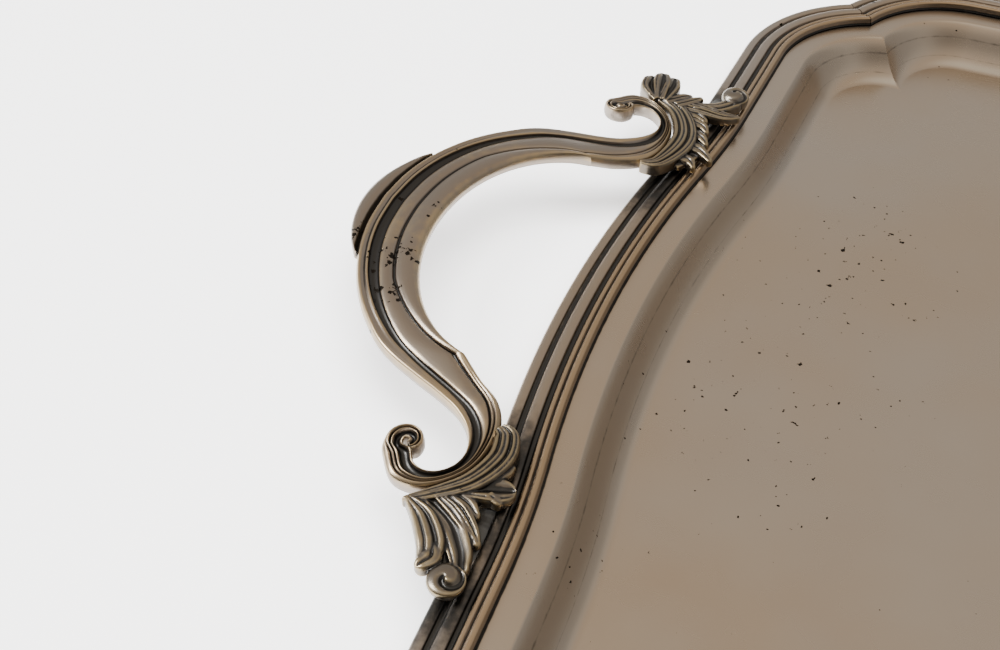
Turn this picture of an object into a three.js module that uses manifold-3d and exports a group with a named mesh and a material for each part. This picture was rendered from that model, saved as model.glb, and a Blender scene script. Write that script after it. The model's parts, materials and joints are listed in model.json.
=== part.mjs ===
// A two-handled silver-plated salver: a pressed tray with a stepped, reeded border
// of four soldered mouldings, and two cast handles held by acanthus leaf mounts.
// Millimetres, +Z up. The origin is the centre of the underside, on the table.

import * as THREE from 'three';
import { mergeVertices } from 'three/addons/utils/BufferGeometryUtils.js';
import Module from 'manifold-3d';

const wasm = await Module();
wasm.setup();

const degrees = Math.PI / 180;

// ---- Driving dimensions ----

const trayLength = 540; // apex to apex of the two ends, without the handles
const trayWidth = 382; // apex to apex of the two long sides
const wellDepth = 10.6; // border surface down to the well floor
const sheetThickness = 1.5; // pressed sheet of the tray
const mouldingWidth = 12; // border moulding, outer edge to inner face
const beadHeight = 2.4; // top bead of the moulding over the border surface
const borderWidth = 18; // outer edge to the top of the well wall
const fitGap = 0.3; // clearance where one piece is soldered to another

// How each side of the outline swings: a bow at its middle, a long hollow, a straight
// lean, then the lobe that meets the next side at the corner cusp.
const endSwing = { bowRadius: 330, bowTurn: 10 * degrees, hollowRadius: 220, lean: 2.5 * degrees };
const longSwing = { bowRadius: 620, bowTurn: 7.5 * degrees, hollowRadius: 400, lean: 1.5 * degrees };
const lobeRadius = 44;
const lobeTurn = 62 * degrees; // turn of a lobe, from the side's direction to the cusp
const footTurn = 104 * degrees; // the same where the lobe is drawn at the foot of the wall

// The handle bow is a flat reeded strap between two half ellipses with one centre.
const bowCentreOut = 6; // ellipse centre, outside the tray's end
const bowReach = 51.3; // outer edge of the strap from the tray's end
const bowWidth = 16.2; // strap width at the middle of the grip
const bowOuterSpan = 51.8; // half span of the outer ellipse
const bowInnerSpan = 39.6; // half span of the inner ellipse
const bowThickness = 4.4;
const gripRise = 10; // top of the strap over the bead, at the middle
const kinkRise = 5.6; // the same at the kink of the inner edge
const scrollRise = 3.5; // the same round the scroll
const crestReach = 5; // thumb crest beyond the outer edge of the strap
const crestHalfSpan = 21.2;
const crestThickness = 3.6;
const curlRadius = 4;
const curlRise = 6.3; // top of the curl over the bead
const leafRise = 0.7; // underside of a leaf mount over the bead
const solderWidth = 4.2; // width of a solder bed across the moulding

// ---- Heights and places that follow ----

const borderTop = sheetThickness + wellDepth;
const beadTop = borderTop + beadHeight;
const scrollOffset = 11.4; // scroll's centre past the end of the outer ellipse
const scrollCentre = { x: -bowCentreOut, y: bowOuterSpan + scrollOffset };

// ---- Closed bodies from rings and points ----

function signedVolume(points, faces) {
  let sum = 0;
  for (const [a, b, c] of faces) sum += points[a].dot(points[b].clone().cross(points[c]));
  return sum / 6;
}

// A BufferGeometry of a closed body, its faces turned to point out.
function closedBody(points, faces) {
  const order = signedVolume(points, faces) < 0 ? [0, 2, 1] : [0, 1, 2];
  const geometry = new THREE.BufferGeometry().setFromPoints(points);
  geometry.setIndex(faces.flatMap((face) => order.map((i) => face[i])));
  geometry.computeVertexNormals();
  return geometry;
}

// Faces that cover a flat ring of points, given its outline as 2-D points.
function capFaces(outline, firstIndex) {
  return THREE.ShapeUtils.triangulateShape(outline, []).map((face) => face.map((i) => i + firstIndex));
}

// A body lofted through rings of equal length, closed by a flat cap at both ends.
// outlineOf gives a ring's 2-D outline for its cap.
function loft(rings, outlineOf) {
  const size = rings[0].length;
  const points = rings.flat();
  const faces = [];
  for (let ring = 0; ring + 1 < rings.length; ring += 1) {
    for (let i = 0; i < size; i += 1) {
      const a = ring * size + i;
      const b = ring * size + ((i + 1) % size);
      faces.push([a, b, b + size], [a, b + size, a + size]);
    }
  }
  const last = (rings.length - 1) * size;
  faces.push(...matchWinding(capFaces(outlineOf(rings[0]), 0), [1, 0]));
  faces.push(...matchWinding(capFaces(outlineOf(rings.at(-1)), last), [last, last + 1]));
  return closedBody(points, faces);
}

// Cap faces turned so that one of them runs along the given edge in its direction.
function matchWinding(faces, [from, to]) {
  const follows = faces.some((face) => face.some((v, i) => v === from && face[(i + 1) % 3] === to));
  return follows ? faces : faces.map(([a, b, c]) => [a, c, b]);
}

const planOutline = (ring) => ring.map((p) => new THREE.Vector2(p.x, p.y));

// ---- Joining and cutting ----

function toManifold(geometry) {
  const bare = geometry.clone();
  bare.deleteAttribute('normal');
  bare.deleteAttribute('uv');
  const merged = mergeVertices(bare, 1e-5);
  return new wasm.Manifold(new wasm.Mesh({
    numProp: 3,
    vertProperties: new Float32Array(merged.attributes.position.array),
    triVerts: new Uint32Array(merged.index.array),
  }));
}

function fromManifold(manifold) {
  const mesh = manifold.getMesh();
  const geometry = new THREE.BufferGeometry();
  geometry.setAttribute('position', new THREE.BufferAttribute(new Float32Array(mesh.vertProperties), 3));
  geometry.setIndex(new THREE.BufferAttribute(new Uint32Array(mesh.triVerts), 1));
  geometry.computeVertexNormals();
  return geometry;
}

const joined = (geometries) => geometries.map(toManifold).reduce((whole, next) => whole.add(next));

// ---- The outline ----

// One side of the outline, from its apex: the reach of its bow, hollow and lobe along the
// side and in from its apex, before the straight between them.
function fixedRun({ bowRadius, bowTurn, hollowRadius, lean }) {
  return {
    along: bowRadius * Math.sin(bowTurn) + hollowRadius * (Math.sin(bowTurn) - Math.sin(lean))
      + lobeRadius * (Math.sin(lobeTurn) - Math.sin(lean)),
    inward: bowRadius * (1 - Math.cos(bowTurn)) + hollowRadius * (Math.cos(lean) - Math.cos(bowTurn))
      + lobeRadius * (Math.cos(lean) - Math.cos(lobeTurn)),
  };
}

// The two straights that bring both sides to the same cusp.
function solveStraights() {
  const end = fixedRun(endSwing);
  const long = fixedRun(longSwing);
  const spareWidth = trayWidth / 2 - long.inward - end.along;
  const spareLength = trayLength / 2 - end.inward - long.along;
  const [c1, s1] = [Math.cos(endSwing.lean), Math.sin(endSwing.lean)];
  const [c2, s2] = [Math.cos(longSwing.lean), Math.sin(longSwing.lean)];
  const det = c1 * c2 - s1 * s2;
  return {
    end: (spareWidth * c2 - spareLength * s2) / det,
    long: (spareLength * c1 - spareWidth * s1) / det,
  };
}

const straights = solveStraights();
const endSide = { ...endSwing, apex: trayLength / 2, straight: straights.end };
const longSide = { ...longSwing, apex: trayWidth / 2, straight: straights.long };

// Turn of a lobe at which its offset line reaches the mitre between two sides.
const mitreReach = lobeRadius * Math.sin(lobeTurn - 45 * degrees);
const mitreTurn = (inset, gap) => 45 * degrees + Math.asin((mitreReach - gap / 2) / (lobeRadius - inset));
const wallFoot = lobeRadius - mitreReach / Math.sin(footTurn - 45 * degrees);

// Point of a side at a station, at an inset from the outer edge: along the side, and out
// from the tray's centre. A station is a stretch of the side and a fraction of it.
function sidePoint(side, [stretch, fraction], inset, gap = 0) {
  const { bowRadius, bowTurn, hollowRadius, lean, apex, straight } = side;
  if (stretch === 'bow') {
    const turn = bowTurn * fraction;
    const radius = bowRadius - inset;
    return [radius * Math.sin(turn), apex - bowRadius + radius * Math.cos(turn)];
  }
  if (stretch === 'hollow') {
    const turn = bowTurn + (lean - bowTurn) * fraction;
    const radius = hollowRadius + inset;
    const reach = bowRadius + hollowRadius;
    return [
      reach * Math.sin(bowTurn) - radius * Math.sin(turn),
      apex - bowRadius + reach * Math.cos(bowTurn) - radius * Math.cos(turn),
    ];
  }
  const [along, out] = sidePoint(side, ['hollow', 1], 0);
  const centreAlong = along + straight * Math.cos(lean) - lobeRadius * Math.sin(lean);
  const centreOut = out - straight * Math.sin(lean) - lobeRadius * Math.cos(lean);
  const turn = lean + (mitreTurn(inset, gap) - lean) * fraction;
  return [
    centreAlong + (lobeRadius - inset) * Math.sin(turn),
    centreOut + (lobeRadius - inset) * Math.cos(turn),
  ];
}

const stretches = [['bow', 3], ['hollow', 2], ['lobe', 6]];

// The stations from the apex to the corner, with those of the straight implied by the
// end of the hollow and the start of the lobe.
function halfStations() {
  const stations = [['bow', 0]];
  for (const [stretch, count] of stretches) {
    const first = stretch === 'lobe' ? 0 : 1;
    for (let i = first; i <= count; i += 1) stations.push([stretch, i / count]);
  }
  return stations;
}

// Every point of a whole side at one inset, from corner to corner.
function sideLine(side, inset, gap = 0) {
  const half = halfStations().map((station) => sidePoint(side, station, inset, gap));
  return [...half.slice(1).reverse().map(([along, out]) => [-along, out]), ...half];
}

// The four sides in turn, anticlockwise from the right end.
const sides = [endSide, longSide, endSide, longSide];
const turned = ([along, out], quarter) => {
  const [c, s] = [[1, 0], [0, 1], [-1, 0], [0, -1]][quarter];
  return [out * c - along * s, out * s + along * c];
};

// ---- The pressed tray ----

// Height of the tray's surface down the well wall, from 0 at its top to 1 at its foot.
const wallFall = (u) => Math.sin((Math.PI / 2) * u ** 0.75) ** 2;
const wallSteps = 6;

function wallPoint(u) {
  return [borderWidth + (wallFoot - borderWidth) * u, borderTop - wellDepth * wallFall(u)];
}

// A point of the underside: one sheet thickness square to the surface above.
function undersidePoint(u) {
  const step = 0.01;
  const [d0, z0] = wallPoint(Math.max(u - step, 0));
  const [d1, z1] = wallPoint(Math.min(u + step, 1));
  const length = Math.hypot(d1 - d0, z1 - z0);
  const [d, z] = wallPoint(u);
  return [d + (sheetThickness * (z1 - z0)) / length, z - (sheetThickness * (d1 - d0)) / length];
}

const lipThickness = 1.7; // the moulding's lip over the sheet's edge
const sheetEdge = lipThickness + fitGap;

function trayBody() {
  const wall = Array.from({ length: wallSteps }, (_, i) => (i + 1) / wallSteps);
  const top = [[sheetEdge, borderTop], [borderWidth, borderTop], ...wall.map(wallPoint)];
  const under = [[sheetEdge, borderTop - sheetThickness], ...[0, ...wall.slice(0, -1)].map(undersidePoint),
    [wallFoot, 0]];
  const profile = [...top.reverse(), ...under];
  const rings = profile.map(([inset, z]) => sides.flatMap((side, quarter) => (
    sideLine(side, inset).slice(1).map((p) => new THREE.Vector3(...turned(p, quarter), z))
  )));
  return loft(rings, planOutline);
}

// ---- Border mouldings ----

// Section of the moulding: inset from the outer edge, and height over the bead's top.
// From the lip round the outer band, the ovolo and the two beads to the inner face.
const lipDepth = beadHeight + sheetThickness + 0.6;
// The cavetto and the two beads keep their place from the inner face, so a wider or
// narrower moulding only changes its ovolo.
const fromInnerFace = (distance, z) => [mouldingWidth - distance, z];
const mouldingSection = [
  [0.4, -lipDepth], [0, -2.3], [0.8, -1.5], [2.5, -1.3], [3.1, -1.7], [3.7, -1.7],
  [4.4, -0.9], fromInnerFace(5.4, -0.8), fromInnerFace(4.6, -1.4), fromInnerFace(3.9, -1.4),
  fromInnerFace(3.3, -0.5), fromInnerFace(2.6, -0.5), fromInnerFace(2.2, -0.9),
  fromInnerFace(1.5, 0), fromInnerFace(0.5, -0.2), fromInnerFace(0, -beadHeight + fitGap),
  [lipThickness, -beadHeight + fitGap], [lipThickness, -lipDepth],
];

function borderMoulding(quarter) {
  const side = sides[quarter];
  const lines = mouldingSection.map(([inset]) => sideLine(side, inset, fitGap));
  const rings = lines[0].map((_, station) => mouldingSection.map(([, z], i) => (
    new THREE.Vector3(...turned(lines[i][station], quarter), beadTop + z)
  )));
  const sectionOutline = () => mouldingSection.map(([inset, z]) => new THREE.Vector2(inset, z));
  return loft(rings, sectionOutline);
}

// ---- Handle bows ----
// Modelled at the left end, where x runs in from the end's apex and y along the end.

const endX = -trayLength / 2;

const gripFall = 1.5; // how late the grip falls from its middle to the kink
const innerLead = 1.3; // how far the inner edge runs ahead of the outer one

// Control rows of the grip, from its middle to the kink: outer edge x, y, inner edge x, y,
// and the top's height over the bead.
function strapControls() {
  const rows = [];
  const inner = bowReach - bowWidth - bowCentreOut;
  const outer = bowReach - bowCentreOut;
  for (const turn of [0, 12, 24, 37, 50, 63]) {
    const c = Math.cos(turn * degrees);
    const s = Math.sin(turn * degrees);
    const rise = kinkRise + (gripRise - kinkRise) * c ** gripFall;
    const innerTurn = turn * innerLead * degrees;
    rows.push([
      -bowCentreOut - outer * c, bowOuterSpan * s,
      -bowCentreOut - inner * Math.cos(innerTurn), bowInnerSpan * Math.sin(innerTurn), rise,
    ]);
  }
  return rows;
}

// The scroll's rows, from the kink of the inner edge round to the curl, from its centre.
const scrollRows = [
  [-4.5, -11.6, 1.6, -21.4, 1.5], [0.8, -9.0, 7.2, -16.3, 1.0], [4.7, -5.3, 10.3, -11, 0.5],
  [6.4, -1.0, 11.0, -4, 0], [5.9, 3.2, 9.6, 3, 0], [3.4, 6.2, 5.6, 8.6, 0], [0.4, 7.2, 0.6, 11.9, 0.2],
  [-2.2, 6.3, -5, 11.8, 0.6], [-3.8, 4, -9, 7.5, 1.2],
];

// Rows between control rows, on a Catmull-Rom curve through them.
function smoothRows(rows, steps) {
  const result = [];
  for (let i = 0; i + 1 < rows.length; i += 1) {
    const last = rows.length - 1;
    const [a, b, c, d] = [Math.max(i - 1, 0), i, i + 1, Math.min(i + 2, last)].map((k) => rows[k]);
    for (let step = 0; step < steps; step += 1) {
      const t = step / steps;
      result.push(b.map((_, k) => 0.5 * (2 * b[k] + (c[k] - a[k]) * t
        + (2 * a[k] - 5 * b[k] + 4 * c[k] - d[k]) * t ** 2 + (3 * b[k] - a[k] - 3 * c[k] + d[k]) * t ** 3)));
    }
  }
  return [...result, rows.at(-1)];
}

const scrollControls = () => scrollRows.map(([ox, oy, ix, iy, rise]) => [
  scrollCentre.x + ox, scrollCentre.y + oy, scrollCentre.x + ix, scrollCentre.y + iy, scrollRise + rise,
]);

// Half of the strap: the inner edge has its sharp kink where the two lists meet.
const halfStrap = () => [...smoothRows(strapControls(), 2), ...smoothRows(scrollControls(), 1)];

// Section of the reeded strap: fraction of its width from the outer edge, and fraction
// of its thickness below the top.
const strapSection = [
  [0.05, 0.85], [0, 0.5], [0.02, 0.1], [0.16, 0.05], [0.24, 0.32], [0.34, 0.3],
  [0.42, 0.05], [0.57, 0.06], [0.61, 0.18], [0.66, 0.03], [0.96, 0.06], [1, 0.5], [0.85, 0.95], [0.3, 1],
];

// A ring of the strap's section at one row. grow widens it all round.
function strapRing([ox, oy, ix, iy, rise], grow, mirror) {
  const width = Math.hypot(ix - ox, iy - oy);
  return strapSection.map(([across, below]) => {
    const reach = across * (width + 2 * grow) - grow;
    const x = ox + ((ix - ox) * reach) / width;
    const y = oy + ((iy - oy) * reach) / width;
    const z = rise - bowThickness * below + grow * (1 - 2 * below);
    return new THREE.Vector3(endX + x, mirror * y, beadTop + z);
  });
}

// The whole strap, from one curl to the other.
function strap(grow) {
  const half = halfStrap();
  const rings = [
    ...half.slice(1).reverse().map((row) => strapRing(row, grow, -1)),
    ...half.map((row) => strapRing(row, grow, 1)),
  ];
  const outline = () => strapSection.map(([across, below]) => new THREE.Vector2(across * bowWidth, -below));
  return loft(rings, outline);
}

const curlCentre = { x: scrollCentre.x - 5.5, y: scrollCentre.y + 2.9 };
const curlTaper = 0.8; // radius of the curl's top face, of its foot

function curl(side, grow) {
  const height = bowThickness + 2 * grow;
  const button = new THREE.CylinderGeometry(curlRadius * curlTaper + grow, curlRadius + grow, height, 18);
  button.rotateX(90 * degrees);
  button.translate(endX + curlCentre.x, side * curlCentre.y, beadTop + curlRise - bowThickness / 2);
  return button;
}

const crestRoot = 3; // how far the crest runs in under the strap's outer bead
const crestDrop = 0.5; // its face below the strap's

// The thumb crest: a segment of a disc on the outer edge of the grip.
function thumbCrest() {
  const root = -bowReach + crestRoot;
  const sagitta = crestReach + crestRoot;
  const radius = (crestHalfSpan ** 2 + sagitta ** 2) / (2 * sagitta);
  const halfTurn = Math.asin(crestHalfSpan / radius);
  const shape = new THREE.Shape();
  shape.absarc(endX + root - sagitta + radius, 0, radius, Math.PI - halfTurn, Math.PI + halfTurn, false);
  const crest = new THREE.ExtrudeGeometry(shape, {
    depth: crestThickness, bevelEnabled: false, curveSegments: 14,
  });
  crest.translate(0, 0, beadTop + gripRise - crestDrop - crestThickness);
  return crest;
}

const bowGeometry = fromManifold(joined([strap(0), curl(1, 0), curl(-1, 0), thumbCrest()]));

// ---- Acanthus leaf mounts ----
// Each leaf is a stem round the scroll and a spray of lobes. A lobe is a row of points from
// its root to its tip: x and y from the scroll's centre, half width, and height of its top.

const nearLeaf = {
  stem: [[10.8, -9.6, 1.6, 4.4], [13, -7.6, 2.8, 4.6], [14, -1.4, 2.9, 4.4], [10.6, 6.4, 2.1, 4],
    [4, 13, 1.1, 3.6], [0.5, 15.2, 0.7, 3.4]],
  lobes: [
    [[10.4, 8.7, 1.4, 3.6], [14.4, 7, 2.4, 3.4], [17.8, 5.4, 2.9, 2.8]],
    [[13.5, 3.5, 1.2, 3.4], [17.1, -1, 0.8, 2.8]],
    [[8, 10, 1.4, 3.6], [12.4, 10.8, 1.6, 3.2], [15.2, 12, 0.9, 2.6]],
    [[5.7, 11.3, 1.4, 3.8], [11.5, 12.9, 2.0, 3.4], [18.5, 18.5, 0.9, 2.4]],
    [[3.1, 13, 1.4, 3.8], [10.8, 16.2, 2.5, 3.2], [16.8, 24.5, 2.0, 2.6]],
    [[1.2, 15.2, 0.9, 3.6], [7.2, 18.8, 2.2, 3.8], [11.6, 25.6, 2.4, 3.2]],
  ],
  volute: { x: 16.4, y: 29.5, radius: 3.9, height: 3.6 },
};

const farLeaf = {
  stem: [[8, -14.6, 1.2, 4.2], [13, -14.6, 1.7, 4.4], [16.4, -4.6, 2.4, 4.4], [14.8, 1.6, 2.4, 4.2],
    [8, 10.4, 1.9, 4], [1.2, 14.4, 1.2, 3.8]],
  lobes: [
    [[11.4, 10.4, 1.3, 3.6], [17.5, 9.4, 0.9, 2.8]],
    [[13.6, 6.6, 1.3, 3.6], [19.1, 5, 0.9, 2.8]],
    [[15.4, 1.3, 1.3, 3.6], [20.5, -0.3, 0.9, 2.8]],
    [[16.9, -4.3, 1.4, 3.6], [20.9, -5.3, 1.4, 3], [23.8, -6.7, 1.0, 2.6]],
    [[14.9, -10, 1.3, 3.6], [20.4, -9.6, 0.9, 2.8]],
    [[6.9, 13, 1.8, 3.8], [14.4, 13.1, 2, 3.6], [20.9, 13.2, 1.7, 3], [25, 14.4, 1.2, 2.6]],
    [[12.4, 13.4, 1.6, 3.6], [18.9, 16, 1.7, 3.2], [21.9, 20.4, 1.6, 3.4]],
    [[2, 13, 1.4, 4.2], [-1.6, 18.4, 2.3, 5]],
    [[2, 13, 1.4, 4.2], [1, 20.8, 2.2, 5]],
    [[3, 13, 1.4, 4.2], [3.6, 20.6, 2.2, 5]],
    [[5, 12, 1.3, 4], [10, 16.6, 1.3, 3.8]],
    [[8.4, 11.4, 1.3, 4], [13, 17.2, 1.2, 3.6]],
  ],
  volute: { x: 21.9, y: 22.6, radius: 3.7, height: 5 },
};

const lobeShoulder = 1; // edges of a lobe below its crown
const tipWidth = 0.45; // half width at a lobe's tip, of the row before it
const tipDrop = 0.5; // its crown there, below the row before it
const voluteTaper = 0.7; // radius of a volute's top face, of its foot

// A lobe or stem as a tapered body with a crowned top and a pointed tip.
function lobeBody(rows, side) {
  const smooth = smoothRows(rows, rows.length > 5 ? 2 : 1);
  const last = smooth.at(-1);
  const before = smooth.at(-2);
  const length = Math.hypot(last[0] - before[0], last[1] - before[1]);
  const tip = [last[0] + ((last[0] - before[0]) * last[2]) / length,
    last[1] + ((last[1] - before[1]) * last[2]) / length, last[2] * tipWidth, last[3] - tipDrop];
  const all = [...smooth, tip];
  const rings = all.map((row, i) => {
    const ahead = all[Math.min(i + 1, all.length - 1)];
    const behind = all[Math.max(i - 1, 0)];
    const run = Math.hypot(ahead[0] - behind[0], ahead[1] - behind[1]);
    const normal = [-(ahead[1] - behind[1]) / run, (ahead[0] - behind[0]) / run];
    const [x, y, half, top] = row;
    const shoulder = top - lobeShoulder;
    const section = [[-1, leafRise], [1, leafRise], [1, shoulder], [0, top], [-1, shoulder]];
    return section.map(([across, z]) => (
      new THREE.Vector3(
        endX + scrollCentre.x + x + normal[0] * half * across,
        side * (scrollCentre.y + y + normal[1] * half * across),
        beadTop + z,
      )
    ));
  });
  const outline = () => [[-1, 0], [1, 0], [1, 2], [0, 3], [-1, 2]].map(([x, y]) => new THREE.Vector2(x, y));
  return loft(rings, outline);
}

function voluteBody({ x, y, radius, height }, side) {
  const depth = height - leafRise;
  const volute = new THREE.CylinderGeometry(radius * voluteTaper, radius, depth, 14);
  volute.rotateX(90 * degrees);
  volute.translate(endX + scrollCentre.x + x, side * (scrollCentre.y + y), beadTop + leafRise + depth / 2);
  return volute;
}

// A whole leaf, cut back from the strap that it clasps. side is 1 at the far leaf, -1 near.
function leafMount(leaf, side) {
  const pieces = [leaf.stem, ...leaf.lobes].map((rows) => lobeBody(rows, side));
  const whole = joined([...pieces, voluteBody(leaf.volute, side)]);
  const bowRoom = joined([strap(fitGap), curl(side, fitGap)]);
  return fromManifold(whole.subtract(bowRoom));
}

// ---- Solder beds ----
// A thin bed between each leaf and the moulding, along the outer reeds.

const solderInset = 0.8; // outer edge of the moulding to the bed
const solderBottom = -0.25; // foot of the bed, over the bead's top
const solderSlope = { outer: 0.3, inner: 0.4 }; // how far its sides lean in
const nearSolderRun = [-7, 30]; // ends of the near bed along the tray's end, from the scroll's centre
const farSolderRun = [-14, 24];

function solderBed(side, run) {
  const [from, to] = run.map((along) => scrollCentre.y + along);
  const steps = 10;
  const lines = [solderInset, solderInset + solderWidth].map((inset) => sideLine(endSide, inset));
  const outAt = (line, along) => {
    const next = line.findIndex(([a]) => a > along);
    const [[a0, o0], [a1, o1]] = [line[next - 1], line[next]];
    return o0 + ((o1 - o0) * (along - a0)) / (a1 - a0);
  };
  const rings = Array.from({ length: steps + 1 }, (_, i) => {
    const along = from + ((to - from) * i) / steps;
    const [outer, inner] = lines.map((line) => -outAt(line, along));
    const [bottom, top] = [beadTop + solderBottom, beadTop + leafRise - fitGap];
    const crown = [[inner - solderSlope.inner, top], [outer + solderSlope.outer, top]];
    return [[outer, bottom], [inner, bottom], ...crown].map(([x, z]) => (
      new THREE.Vector3(x, side * along, z)
    ));
  });
  const outline = () => [[0, 0], [3, 0], [2, 1], [1, 1]].map(([x, y]) => new THREE.Vector2(x, y));
  return loft(rings, outline);
}

// ---- Materials ----

const finish = (color, roughness) => new THREE.MeshStandardMaterial({ color, roughness, metalness: 1 });
const sheetSilver = finish(0x9a8e80, 0.32);
const mouldingSilver = finish(0x8d8073, 0.38);
const castSilver = finish(0x84796e, 0.42);
const solderMetal = finish(0x6c6a68, 0.55);

// ---- Assembly ----

function piece(name, geometry, material) {
  const mesh = new THREE.Mesh(geometry, material);
  mesh.name = name;
  return mesh;
}

const salver = new THREE.Group();
salver.add(piece('tray_body', trayBody(), sheetSilver));
const mouldingNames = ['right_end_moulding', 'far_side_moulding', 'left_end_moulding', 'near_side_moulding'];
mouldingNames.forEach((name, quarter) => {
  salver.add(piece(name, borderMoulding(quarter), mouldingSilver));
});

const nearLeafGeometry = leafMount(nearLeaf, -1);
const farLeafGeometry = leafMount(farLeaf, 1);
const nearSolderGeometry = solderBed(-1, nearSolderRun);
const farSolderGeometry = solderBed(1, farSolderRun);

// Both handles are one casting: the right one is the left one turned half round, so the
// leaf that is nearest at the left is farthest at the right.
const ends = [['left', 0, 'near', 'far'], ['right', Math.PI, 'far', 'near']];
for (const [end, turn, nearName, farName] of ends) {
  const handle = new THREE.Group();
  handle.rotation.z = turn;
  handle.add(piece(`${end}_handle_bow`, bowGeometry, castSilver));
  handle.add(piece(`${end}_${nearName}_leaf_mount`, nearLeafGeometry, castSilver));
  handle.add(piece(`${end}_${farName}_leaf_mount`, farLeafGeometry, castSilver));
  handle.add(piece(`${end}_${nearName}_solder_bed`, nearSolderGeometry, solderMetal));
  handle.add(piece(`${end}_${farName}_solder_bed`, farSolderGeometry, solderMetal));
  salver.add(handle);
}

export default salver;
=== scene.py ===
import json
import math
import bpy
import numpy as np
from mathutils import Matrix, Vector


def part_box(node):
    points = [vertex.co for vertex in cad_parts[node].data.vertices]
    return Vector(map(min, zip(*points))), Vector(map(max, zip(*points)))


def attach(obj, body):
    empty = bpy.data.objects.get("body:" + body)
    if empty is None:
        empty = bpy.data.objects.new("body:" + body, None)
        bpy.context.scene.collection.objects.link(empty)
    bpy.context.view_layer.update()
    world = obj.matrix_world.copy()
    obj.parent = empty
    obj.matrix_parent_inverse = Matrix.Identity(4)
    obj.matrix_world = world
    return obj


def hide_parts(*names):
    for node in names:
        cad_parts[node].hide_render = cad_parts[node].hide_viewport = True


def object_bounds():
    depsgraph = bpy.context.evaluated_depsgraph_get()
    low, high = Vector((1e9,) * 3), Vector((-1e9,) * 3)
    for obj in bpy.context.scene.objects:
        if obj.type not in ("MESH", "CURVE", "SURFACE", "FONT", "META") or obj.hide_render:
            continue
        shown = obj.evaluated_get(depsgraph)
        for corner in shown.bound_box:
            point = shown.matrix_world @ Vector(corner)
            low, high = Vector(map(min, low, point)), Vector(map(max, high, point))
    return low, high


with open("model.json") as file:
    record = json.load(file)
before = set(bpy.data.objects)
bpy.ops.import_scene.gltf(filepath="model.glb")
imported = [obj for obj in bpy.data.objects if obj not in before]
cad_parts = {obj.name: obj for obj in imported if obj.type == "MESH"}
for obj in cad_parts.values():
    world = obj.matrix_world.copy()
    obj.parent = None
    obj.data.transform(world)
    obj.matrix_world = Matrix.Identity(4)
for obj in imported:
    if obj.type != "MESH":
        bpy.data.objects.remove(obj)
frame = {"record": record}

cad_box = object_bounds()
MM = 0.001

# ---- Pressed tray ----
# The body is one sheet of brass, pressed to a sunk well with a flat border, then silver
# plated. Its wall runs round the well in a long cove that creases at the four corners.
# Thin dark lines are painted on: at the moulding's foot a tarnished joint deepened with painted shade, and
# along the wall two lines of painted shade.

mouldings = {name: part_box(name + "_moulding") for name in ("left_end", "right_end", "near_side", "far_side")}
half_length = mouldings["right_end"][1].x / MM
half_width = mouldings["far_side"][1].y / MM
bead_top = mouldings["left_end"][1].z / MM
border_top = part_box("tray_body")[1].z / MM
mounts = {mount["name"]: mount for mount in frame["record"]["mounts"]}
sheet_thickness = mounts["well_floor"]["pos_m"][2] / MM
sheet_edge = half_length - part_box("tray_body")[1].x / MM
border_width = 18.0
lobe_radius = 44.0
lobe_turn = math.radians(62)
foot_turn = math.radians(104)

END = {"bow": 330.0, "bow_turn": math.radians(10), "hollow": 220.0, "lean": math.radians(2.5)}
LONG = {"bow": 620.0, "bow_turn": math.radians(7.5), "hollow": 400.0, "lean": math.radians(1.5)}


def fixed_run(side):
    """How far a side's bow, hollow and lobe run along it and in from its apex."""
    bow, turn, hollow, lean = side["bow"], side["bow_turn"], side["hollow"], side["lean"]
    along = bow * math.sin(turn) + hollow * (math.sin(turn) - math.sin(lean))
    along += lobe_radius * (math.sin(lobe_turn) - math.sin(lean))
    inward = bow * (1 - math.cos(turn)) + hollow * (math.cos(lean) - math.cos(turn))
    inward += lobe_radius * (math.cos(lean) - math.cos(lobe_turn))
    return along, inward


end_along, end_inward = fixed_run(END)
long_along, long_inward = fixed_run(LONG)
straight_rows = np.array([
    [math.cos(END["lean"]), math.sin(LONG["lean"])],
    [math.sin(END["lean"]), math.cos(LONG["lean"])],
])
spare = [half_width - long_inward - end_along, half_length - end_inward - long_along]
END["straight"], LONG["straight"] = np.linalg.solve(straight_rows, spare)
END["apex"], LONG["apex"] = half_length, half_width

mitre_reach = lobe_radius * math.sin(lobe_turn - math.pi / 4)
wall_foot = lobe_radius - mitre_reach / math.sin(foot_turn - math.pi / 4)


def half_side(side, inset, gap):
    """Points of half a side at one inset, from its middle to the corner: along, out."""
    bow, bow_turn, hollow, lean = side["bow"], side["bow_turn"], side["hollow"], side["lean"]
    turn = np.linspace(0, bow_turn, 36)
    first = np.stack([(bow - inset) * np.sin(turn), side["apex"] - bow + (bow - inset) * np.cos(turn)], 1)
    turn = np.linspace(bow_turn, lean, 24)[1:]
    reach = bow + hollow
    second = np.stack([
        reach * math.sin(bow_turn) - (hollow + inset) * np.sin(turn),
        side["apex"] - bow + reach * math.cos(bow_turn) - (hollow + inset) * np.cos(turn),
    ], 1)
    joint = np.array([
        reach * math.sin(bow_turn) - hollow * math.sin(lean),
        side["apex"] - bow + reach * math.cos(bow_turn) - hollow * math.cos(lean),
    ])
    centre = joint + side["straight"] * np.array([math.cos(lean), -math.sin(lean)])
    centre -= lobe_radius * np.array([math.sin(lean), math.cos(lean)])
    last_turn = math.pi / 4 + math.asin((mitre_reach - gap / 2) / (lobe_radius - inset))
    turn = np.linspace(lean, last_turn, 56)
    lobe = centre + (lobe_radius - inset) * np.stack([np.sin(turn), np.cos(turn)], 1)
    share = np.linspace(0, 1, 20)[1:-1, None]
    straight = second[-1] + (lobe[0] - second[-1]) * share
    return np.concatenate([first, second, straight, lobe])


def side_line(side, inset, gap=0.0):
    half = half_side(side, inset, gap)
    return np.concatenate([half[:0:-1] * [-1, 1], half])


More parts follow.
